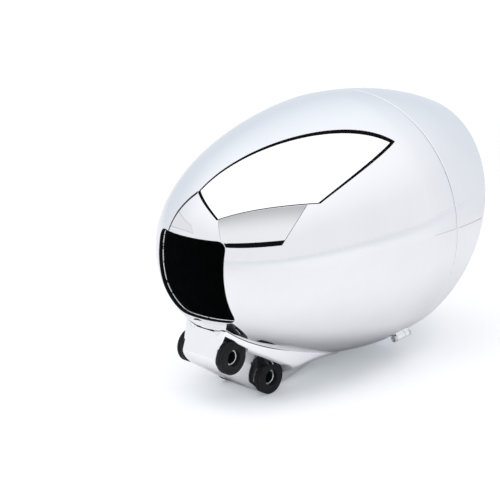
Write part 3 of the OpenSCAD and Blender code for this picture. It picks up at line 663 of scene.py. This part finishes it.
# Rubber boot: soft cap over the back of the bulb that keeps water out of the reflector.
# Its rim stretches round the reflector and its lip round the bulb's cap.
boot_t, boot_r, wire_t = 2.2, 36, 1.4
lip_r = cap_r + seat
mouth_d = bowl_depth(boot_r - boot_t - reflector_t) - seat
back_d = cap_back + boot_t
step_d = flange_back - wire_t - seat
step_r = flange_r + boot_t
boot = [(lip_r, cap_back + 0.5), (lip_r + 0.5, cap_back), (step_r - 1, cap_back),
        (step_r + 0.2, cap_back + 0.5), (step_r + boot_t - 0.2, step_d - 0.5),
        (step_r + boot_t + 0.4, step_d + 0.4),
        (boot_r - 0.4, mouth_d - boot_t), (boot_r, mouth_d - boot_t + 0.4), (boot_r, mouth_d),
        (boot_r - boot_t, mouth_d), (boot_r - boot_t, mouth_d - boot_t), (step_r, step_d + boot_t),
        (step_r - boot_t / 2, back_d), (lip_r, back_d)]
fitted("rubber_cap", turned(boot, on_axis, steps=96), [rubber], "rubber", "rubber_boot", sharp=60)

# Mounting block: one chromed casting under the shell. Its saddle spreads along the shell's belly,
# flares down into a solid arm, and ends at the rear in two round bosses with cross bores.
boss_r, bore_pitch, bore_slope = 11.7, 44.5, math.radians(35.1)
block_half_w, block_edge_r = 15.5, 3.5
saddle_half_w, saddle_wide_y, saddle_tip_y = 36, 70, 120
arm_run, arm_ease = 74, 1.7
flare_h, saddle_edge_t, shoulder_t, shoulder_run, edge_round, tip_t = 7, 5, 13, 47, 2.5, 1.6
# Slope of the neck's back and its height at the boss's end
back_slope, back_h = 2.6, 1
# The line open to the shell: its width where closed, what it opens by, from where and over what length
gap_closed, gap_opening, gap_y, gap_run = 0.04, 0.26, -44, 16
front_y, front_z = -bore_pitch * math.cos(bore_slope), -bore_pitch * math.sin(bore_slope)
line_start_y = boss_r * math.sin(bore_slope)
line_end_y = front_y + line_start_y
foot_z = front_z - boss_r
shoulder_y = front_y - boss_r


def belly_z(y, x, gap=0.0):
    """Height of the bullet's underside, or of a place a little below it."""
    depth = pole_y - y
    slope = (body_at(depth + 0.01) - body_at(depth)) / 0.01
    radius = body_at(depth) + gap * math.hypot(1, slope)
    return axis_h - math.sqrt(max(radius**2 - x * x, 0))


def under_z(y):
    """Height of the casting's underside."""
    if y > line_start_y:
        return -math.sqrt(max(boss_r**2 - y * y, 0))
    if y > line_end_y:
        return -boss_r / math.cos(bore_slope) + y * math.tan(bore_slope)
    if y > front_y:
        return front_z - math.sqrt(max(boss_r**2 - (y - front_y) ** 2, 0))
    way = (1 - math.cos(math.pi * min((front_y - y) / arm_run, 1) ** arm_ease)) / 2
    return foot_z + (belly_z(y, 0) - tip_t - foot_z) * way


def saddle_w(y):
    """Half the width of the saddle."""
    if y > -saddle_wide_y:
        turn = 90 * max(boss_r - y, 0) / (saddle_wide_y + boss_r)
        return block_half_w + (saddle_half_w - block_half_w) * math.sin(math.radians(turn))
    u = (-y - saddle_wide_y) / (saddle_tip_y - saddle_wide_y)
    return saddle_half_w * math.sqrt(max(1 - u * u, 0.002))


def block_w(y):
    """Half the width of the arm under the flare."""
    return block_half_w if y > -saddle_wide_y else saddle_w(y) * block_half_w / saddle_half_w


def roof_z(y, x, gap=0.0):
    """Height of what the casting ends against: the shell, or the neck's sloping back."""
    return min(belly_z(y, x, gap), (boss_r - y) * back_slope + back_h)


def edge_t(y):
    """Thickness of the saddle's edge: it grows forward to the shoulder, then thins to the tip."""
    if y > shoulder_y:
        return saddle_edge_t + (shoulder_t - saddle_edge_t) * ((boss_r - y) / (boss_r - shoulder_y)) ** 2
    return tip_t + (shoulder_t - tip_t) * max(1 - (shoulder_y - y) / shoulder_run, 0) ** 2


def section(y):
    """One half of the casting's section, from the middle of its underside round to the middle of its top."""
    w, b, low = saddle_w(y), block_w(y), under_z(y)
    gap = gap_closed + gap_opening * min(max((y - gap_y) / gap_run, 0), 1)
    room = max(roof_z(y, b) - low, 0.001)
    edge = min(edge_t(y), room / 2)
    c = min(block_edge_r, room / 4, b / 2)
    rise = min(flare_h, room - edge - c)
    round_z, round_x = min(edge_round, edge / 2), min(edge_round, (w - b) / 2)
    foot = w - round_x
    points = [(0, low)]
    points += [(b - c + c * math.sin(math.radians(a)), low + c - c * math.cos(math.radians(a)))
               for a in (0, 15, 30, 45, 60, 75, 90)]
    for a in range(10, 91, 10):
        x = b + (foot - b) * (1 - math.cos(math.radians(a)))
        points.append((x, roof_z(y, x) - edge - rise * (1 - math.sin(math.radians(a)))))
    for a in (18, 36, 54, 72, 90):
        x = foot + round_x * math.sin(math.radians(a))
        points.append((x, roof_z(y, x) - edge + round_z * (1 - math.cos(math.radians(a)))))
    points.append((w, max(roof_z(y, w, gap), points[-1][1] + 0.02)))
    for i in range(9, -1, -1):
        x = w * i / 10
        points.append((x, max(roof_z(y, x, gap), low + 0.4 * room)))
    return points


boss_stations, arm_stations = 22, 64
stations = [boss_r * math.cos(math.radians(4 + 86 * i / boss_stations)) for i in range(boss_stations)]
stations += [-saddle_tip_y * math.sin(math.radians(90 * i / arm_stations)) for i in range(arm_stations + 1)]
block = bmesh.new()
loop_verts = None
for y in stations:
    half = section(y)
    ring = half + [(-x, z) for x, z in half[-2:0:-1]]
    if loop_verts is None:
        loop_verts = [block.verts.new((x * MM, y * MM, z * MM)) for x, z in ring]
        block.faces.new(loop_verts)
        continue
    edges = [block.edges.get((a, b)) for a, b in zip(loop_verts, loop_verts[1:] + loop_verts[:1])]
    grown = bmesh.ops.extrude_edge_only(block, edges=edges)["geom"]
    fresh = {g for g in grown if isinstance(g, bmesh.types.BMVert)}
    loop_verts = [next(e.other_vert(v) for e in v.link_edges if e.other_vert(v) in fresh) for v in loop_verts]
    for v, (x, z) in zip(loop_verts, ring):
        v.co = (x * MM, y * MM, z * MM)
block.faces.new(loop_verts)
bmesh.ops.recalc_face_normals(block, faces=block.faces[:])
cast_chrome = plated("cast chrome", (0.95, 0.952, 0.96), (0.90, 0.903, 0.915), 0.02, 0.055, 0.000004)
seat_grey = surfaced("spot-faced seats", ((0.80, 0.81, 0.83), (0.70, 0.71, 0.73)), clouds=160.0,
                     haze=(300.0, 0.5, 0.68), marks=(900.0, 0.00002), Metallic=0.55)


def across(y, z, hand=1):
    """Carries a lathe shape's +Z to a cross bore's +X, or to its -X for the other hand."""
    return (Matrix.Translation((0, y * MM, z * MM)) @ Matrix.Rotation(math.radians(90), 4, "Y")
            @ Matrix.Rotation(0 if hand == 1 else math.pi, 4, "X"))


bores = {"rear": (0.0, 0.0), "front": (front_y, front_z)}
spigot_r, spigot_len, sleeve_r = 8.0, 5.5, 5.5
bush_r, rear_flat = 11.7, 9.6
flat_no = Vector((0, -math.sin(bore_slope), math.cos(bore_slope)))


def flattened(bm, height):
    """Takes a flat off the side of a rear lathe shape that faces the shell, and closes it."""
    sliced(bm, flat_no * height * MM, flat_no, clear_outer=True)
    bmesh.ops.holes_fill(bm, edges=[e for e in bm.edges if e.is_boundary], sides=0)


# The drill reaches past the block, and its steps make the rooms of the bushes' flanges and spigots
drill_x = 40
step_x = block_half_w - spigot_len - seat
room_x = block_half_w + 0.02
half_cut = [(bush_r + seat, drill_x), (bush_r + seat, room_x), (spigot_r + 0.1, room_x),
            (spigot_r + 0.1, step_x), (sleeve_r + seat, step_x)]
drill_outline = [(0, drill_x)] + half_cut + [(r, -x) for r, x in half_cut[::-1]] + [(0, -drill_x)]
drill = bmesh.new()
for row, (y, z) in bores.items():
    bit = turned(drill_outline, across(y, z), steps=96, closed=False)
    if row == "rear":
        flattened(bit, rear_flat + seat)
    joined(drill, bit)
for face in drill.faces:
    face.material_index = 1
casting_finishes = [cast_chrome, seat_grey]
drill_obj = shown("drill", drill, casting_finishes)
block_obj = shown("casting blank", block, casting_finishes)
bored = block_obj.modifiers.new("bores", "BOOLEAN")
bored.operation = "DIFFERENCE"
bored.solver = "EXACT"
bored.object = drill_obj
bpy.context.view_layer.update()
casting = bmesh.new()
casting.from_object(block_obj, bpy.context.evaluated_depsgraph_get())
for obj in (drill_obj, block_obj):
    bpy.data.objects.remove(obj)
fitted("mounting_casting", casting, casting_finishes, "cast_chrome", "mounting_block", sharp=38)

# Rubber bushes: moulded black rings, one in each end of the two cross bores. Each has a spigot in the block,
# a groove round its flange, and the rear ones are flattened on top to clear the shell.
bush_face_x, groove_d = 21.6, 0.5
spigot_x = block_half_w - spigot_len
flange_x = block_half_w + seat
flange_w = bush_face_x - flange_x
# The groove: shares of the flange's width, and of the groove's full depth
groove = [(0.46, 0), (0.50, 0.8), (0.53, 1), (0.60, 1), (0.63, 0.8), (0.67, 0)]
bush_outline = [(sleeve_r + 0.05, spigot_x), (spigot_r, spigot_x), (spigot_r, flange_x),
                (bush_r - 0.4, flange_x), (bush_r, flange_x + 0.4)]
bush_outline += [(bush_r - groove_d * deep, flange_x + flange_w * along) for along, deep in groove]
bush_outline += [(bush_r, bush_face_x - 0.6), (bush_r - 0.18, bush_face_x - 0.18),
                 (bush_r - 0.6, bush_face_x), (sleeve_r + 1.2, bush_face_x),
                 (sleeve_r + 0.35, bush_face_x - 0.25), (sleeve_r + 0.05, bush_face_x - 0.9)]
for row, (y, z) in bores.items():
    for side, hand in (("left", 1), ("right", -1)):
        bush = turned(bush_outline, across(y, z, hand), steps=72)
        if row == "rear":
            flattened(bush, rear_flat)
        fitted(f"{row}_bush_{side}_rubber", bush, [rubber], "rubber", f"{row}_bush_{side}", sharp=35)

# Sleeves: zinc-plated steel tubes through the rubber, which the mounting bolts clamp end to end.
# Their ends lie a little inside the bushes' outer faces.
sleeve_bore_r, sleeve_inset = 4.2, 2.4
inner_round, outer_round = 0.35, 0.25
end_x = bush_face_x - sleeve_inset
# The sleeves' bores are coloured near black with faint flecks: painted shade inside the holes
bore_shade = painted("painted shade in bore", (0.02, 0.02, 0.021), (0.05, 0.048, 0.045), 0.2, 0.35, 0.55, shine=0.3)
sleeve_end = [(sleeve_r, end_x - outer_round), (sleeve_r - outer_round, end_x),
              (sleeve_bore_r + inner_round, end_x), (sleeve_bore_r, end_x - inner_round)]
sleeve_outline = [(r, -x) for r, x in sleeve_end[::-1]] + sleeve_end
for row, (y, z) in bores.items():
    sleeve = turned(sleeve_outline, across(y, z), steps=64)
    for face in sleeve.faces:
        at = face.calc_center_median() / MM
        # Faces of the bore take the painted shade
        if math.hypot(at.y - y, at.z - z) < sleeve_bore_r + 0.1:
            face.material_index = 1
    fitted(f"{row}_sleeve_tube", sleeve, [zinc, bore_shade], "zinc_steel", f"{row}_sleeve", sharp=30)

# Block bolts, washers and backing plate: two hex bolts inside the shell clamp the casting
# to its belly through a curved plate that spreads the load over the thin sheet.
plate_black = painted("black plate", (0.02, 0.02, 0.021), (0.10, 0.10, 0.10), 0.08, 0.38, 0.55)
dressed("backing_plate", plate_black)
dressed("block_washers", zinc)
dressed("block_bolts", zinc)

# Table and light tent: a plain white table, a soft light overhead with a black frame, and a pale side screen.
# Only their light and their reflection reach the lamp; the frames don't show or cast shadows.
table_z, table_r = -37.4, 14.0
table = bmesh.new()
bmesh.ops.create_circle(table, cap_ends=True, segments=96, radius=table_r)
bmesh.ops.translate(table, vec=(0, 0, table_z * MM), verts=table.verts[:])
white = surfaced("white table", ((0.86, 0.863, 0.872), (0.84, 0.843, 0.855)), clouds=3.0,
                 Roughness=0.6, Specular_IOR_Level=0.1, Emission_Strength=1.0)
shown("table", table, [white])


def ray_masks(tree):
    """Where the eye looks straight at a surface, and where it sees it in metal or through glass."""
    path = node_of(tree, "LightPath").outputs
    either = node_of(tree, "Math", operation="MAXIMUM")
    wired(tree, (path["Is Glossy Ray"], either.inputs[0]), (path["Is Transmission Ray"], either.inputs[1]))
    return path["Is Camera Ray"], either.outputs[0]


# The eye and the chrome see a white table that glows: least close to the lamp, more round it,
# most far away. Close to the lamp the low glow paints the shadow deeper than the table's own shading,
# and far away the glow evens out the lamp's falling light. Distances are counted in half-lengths of
# that painted shadow, which lies round a place ahead of the origin.
shade_x, shade_y, shade_ahead = 0.060, 0.120, 0.110
tree = white.node_tree
span = node_of(tree, "VectorMath", operation="LENGTH")
from_lamp = node_of(tree, "VectorMath", operation="MULTIPLY_ADD")
from_lamp.inputs[1].default_value = (1 / shade_x, 1 / shade_y, 0)
from_lamp.inputs[2].default_value = (0, shade_ahead / shade_y, 0)
# Where the painted shadow fades out round the lamp, and where the far table starts
clear = node_of(tree, "MapRange", interpolation_type="SMOOTHSTEP", From_Min=0.6, From_Max=1.25)
far = node_of(tree, "MapRange", interpolation_type="SMOOTHSTEP", From_Min=3.5, From_Max=18.0)
wired(tree, (node_of(tree, "TexCoord").outputs["Object"], from_lamp.inputs[0]),
      (from_lamp.outputs["Vector"], span.inputs[0]), (span.outputs["Value"], clear.inputs["Value"]),
      (span.outputs["Value"], far.inputs["Value"]))


def outward(beside, around, distant):
    """A glow that is low beside the lamp, painting its shadow, and changes round it and again far away."""
    near = blended(tree, clear.outputs["Result"], beside, around)
    return blended(tree, far.outputs["Result"], near, distant)


by_eye, in_chrome = ray_masks(tree)
mirrored = outward((0, 0, 0), (0.225, 0.22, 0.235), (0.38, 0.385, 0.395))
looked_at = outward((0.22, 0.24, 0.25), (0.40, 0.40, 0.41), (0.65, 0.65, 0.65))
lifted = blended(tree, by_eye, blended(tree, in_chrome, (0, 0, 0), mirrored), looked_at)
tree.links.new(lifted, tree.nodes["Principled BSDF"].inputs["Emission Color"])


def glow(name, colour, strength=1.0):
    """A plain shining surface."""
    return shaded(name, Base_Color=(0, 0, 0, 1), Specular_IOR_Level=0.0, Roughness=1.0,
                  Emission_Color=(*colour, 1), Emission_Strength=strength)


def screen(name, panel, frame_finish, frames, corners):
    """A flat panel with four corners, whose frame is as wide as given along each of its sides."""
    bm = bmesh.new()
    outer = [bm.verts.new(Vector(c) * MM) for c in corners]
    face = bm.faces.new(outer)
    bmesh.ops.inset_individual(bm, faces=[face], thickness=0.01)
    inner = list(face.verts)
    near = {i: min(inner, key=lambda v: (v.co - outer[i].co).length) for i in range(4)}
    for i in range(4):
        before, here, after = (Vector(corners[(i + k) % 4]) for k in (-1, 0, 1))
        back, ahead = (before - here).normalized(), (after - here).normalized()
        slant = back.cross(ahead).length
        near[i].co = (here + ahead * frames[i - 1] / slant + back * frames[i] / slant) * MM
    for f in bm.faces:
        f.material_index = 0 if f is face else 1
    obj = shown(name, bm, [panel, frame_finish])
    obj.visible_camera = False
    obj.visible_diffuse = False
    obj.visible_shadow = False


frame_black = glow("frame black", (0.006, 0.006, 0.007))
soft_white = glow("soft white", (1, 1, 1), 1.25)
post_grey = glow("post grey", (0.03, 0.03, 0.035))
streak_grey = glow("streak grey", (0.62, 0.63, 0.66))
card_white = glow("card white", (0.84, 0.85, 0.88))
# The side screen is brighter at its foot than at its top
screen_grey = glow("screen grey", (0.83, 0.85, 0.87))
tree = screen_grey.node_tree
height = node_of(tree, "SeparateXYZ")
fade = node_of(tree, "MapRange", interpolation_type="SMOOTHSTEP", From_Min=0.75, From_Max=1.75)
wired(tree, (node_of(tree, "TexCoord").outputs["Object"], height.inputs[0]),
      (height.outputs["Z"], fade.inputs["Value"]))
wired(tree, (blended(tree, fade.outputs["Result"], (0.93, 0.94, 0.96), (0.58, 0.585, 0.61)),
             tree.nodes["Principled BSDF"].inputs["Emission Color"]))
screen("overhead light", soft_white, frame_black, [54, 42, 20, 70],
       [(972, 249, 900), (-342, -849, 900), (-989, -124, 900), (168, 967, 900)])
screen("side screen", screen_grey, frame_black, [10, 130, 10, 6],
       [(-1845, 18, 1827), (-1266, 505, 392), (-186, 1411, 400), (273, 1796, 1650)])
screen("corner post", post_grey, post_grey, [1, 1, 1, 1],
       [(972, 217, 900), (972, 285, 900), (972, 265, -30), (972, 233, -30)])
screen("pale card", card_white, streak_grey, [22, 22, 22, 22],
       [(1500, 317, 594), (1500, 1632, 900), (1500, 2107, 695), (1500, 368, 214)])
screen("table streak", streak_grey, streak_grey, [1, 1, 1, 1],
       [(-474, -514, -35), (-474, -530, -35), (-194, -640, -35), (-194, -614, -35)])

lamp_data = bpy.data.lights.new("overhead softness", "AREA")
lamp_data.shape = "RECTANGLE"
lamp_data.size, lamp_data.size_y = 1.6, 1.0
lamp_data.energy = 6.0
lamp_data.color = (1.0, 0.98, 0.95)
lamp = bpy.data.objects.new("overhead softness", lamp_data)
lamp.location = (-0.056, 0.060, 0.9)
lamp.rotation_euler = (0, 0, math.radians(40))
lamp.visible_glossy = False
lamp.visible_camera = False
bpy.context.scene.collection.objects.link(lamp)

world = bpy.data.worlds.new("tent")
bpy.context.scene.world = world
world.use_nodes = True
tree = world.node_tree
tree.nodes.clear()
facing = node_of(tree, "TexCoord").outputs["Generated"]
# The tent's far wall is a little darker and bluer than its near wall, and its roof is brighter
away = node_of(tree, "VectorMath", operation="DOT_PRODUCT")
away.inputs[1].default_value = (0.70, -0.70, -0.15)
tone = node_of(tree, "ValToRGB")
wall_tones = ((0.915, 0.922, 0.96), (0.76, 0.815, 0.885))
for stop, place, colour in zip(tone.color_ramp.elements, (0.0, 0.9), wall_tones):
    stop.position = place
    stop.color = (*colour, 1)
split = node_of(tree, "SeparateXYZ")
rise = node_of(tree, "MapRange", interpolation_type="SMOOTHSTEP", From_Min=0.26, From_Max=0.84,
               To_Min=1.0, To_Max=1.19)
tall = node_of(tree, "VectorMath", operation="SCALE")
sky = node_of(tree, "Background")
by_eye, in_chrome = ray_masks(tree)
plain = blended(tree, by_eye, (0.47, 0.495, 0.525), (1, 1, 1))
wired(tree, (facing, away.inputs[0]), (facing, split.inputs[0]), (away.outputs["Value"], tone.inputs["Fac"]),
      (split.outputs["Z"], rise.inputs["Value"]), (tone.outputs["Color"], tall.inputs[0]),
      (rise.outputs["Result"], tall.inputs["Scale"]),
      (blended(tree, in_chrome, plain, tall.outputs["Vector"]), sky.inputs["Color"]),
      (sky.outputs[0], node_of(tree, "OutputWorld").inputs["Surface"]))

# Camera: behind the lamp, off its right-hand side and a little above, as the photograph was taken.
# Its place is counted from a target on the lamp's axis, in radii of the body: right, up and back.
cam_az, cam_el, cam_roll = 3.9048, 0.2901, -0.0262
cam_right, cam_up, cam_back = -0.1655, -0.0713, 9
focal_px, image_px, sensor_mm = 1220.57, 500, 36.0
back = Vector((math.sin(cam_az) * math.cos(cam_el), -math.cos(cam_az) * math.cos(cam_el), math.sin(cam_el)))
right = (-back).cross(Vector((0, 0, 1))).normalized()
up = right.cross(-back)
right, up = (math.cos(cam_roll) * right + math.sin(cam_roll) * up,
             -math.sin(cam_roll) * right + math.cos(cam_roll) * up)
target = Vector((0, -axis_h, axis_h)) * MM
centre = target + body_r * MM * (cam_right * right + cam_up * up + cam_back * back)
cam_data = bpy.data.cameras.new("camera")
cam_data.sensor_width = sensor_mm
cam_data.lens = focal_px * sensor_mm / image_px
cam = bpy.data.objects.new("camera", cam_data)
cam.matrix_world = Matrix.Translation(centre) @ Matrix((right, up, back)).transposed().to_4x4()
bpy.context.scene.collection.objects.link(cam)
bpy.context.scene.camera = cam
bpy.context.scene.view_settings.view_transform = "Standard"
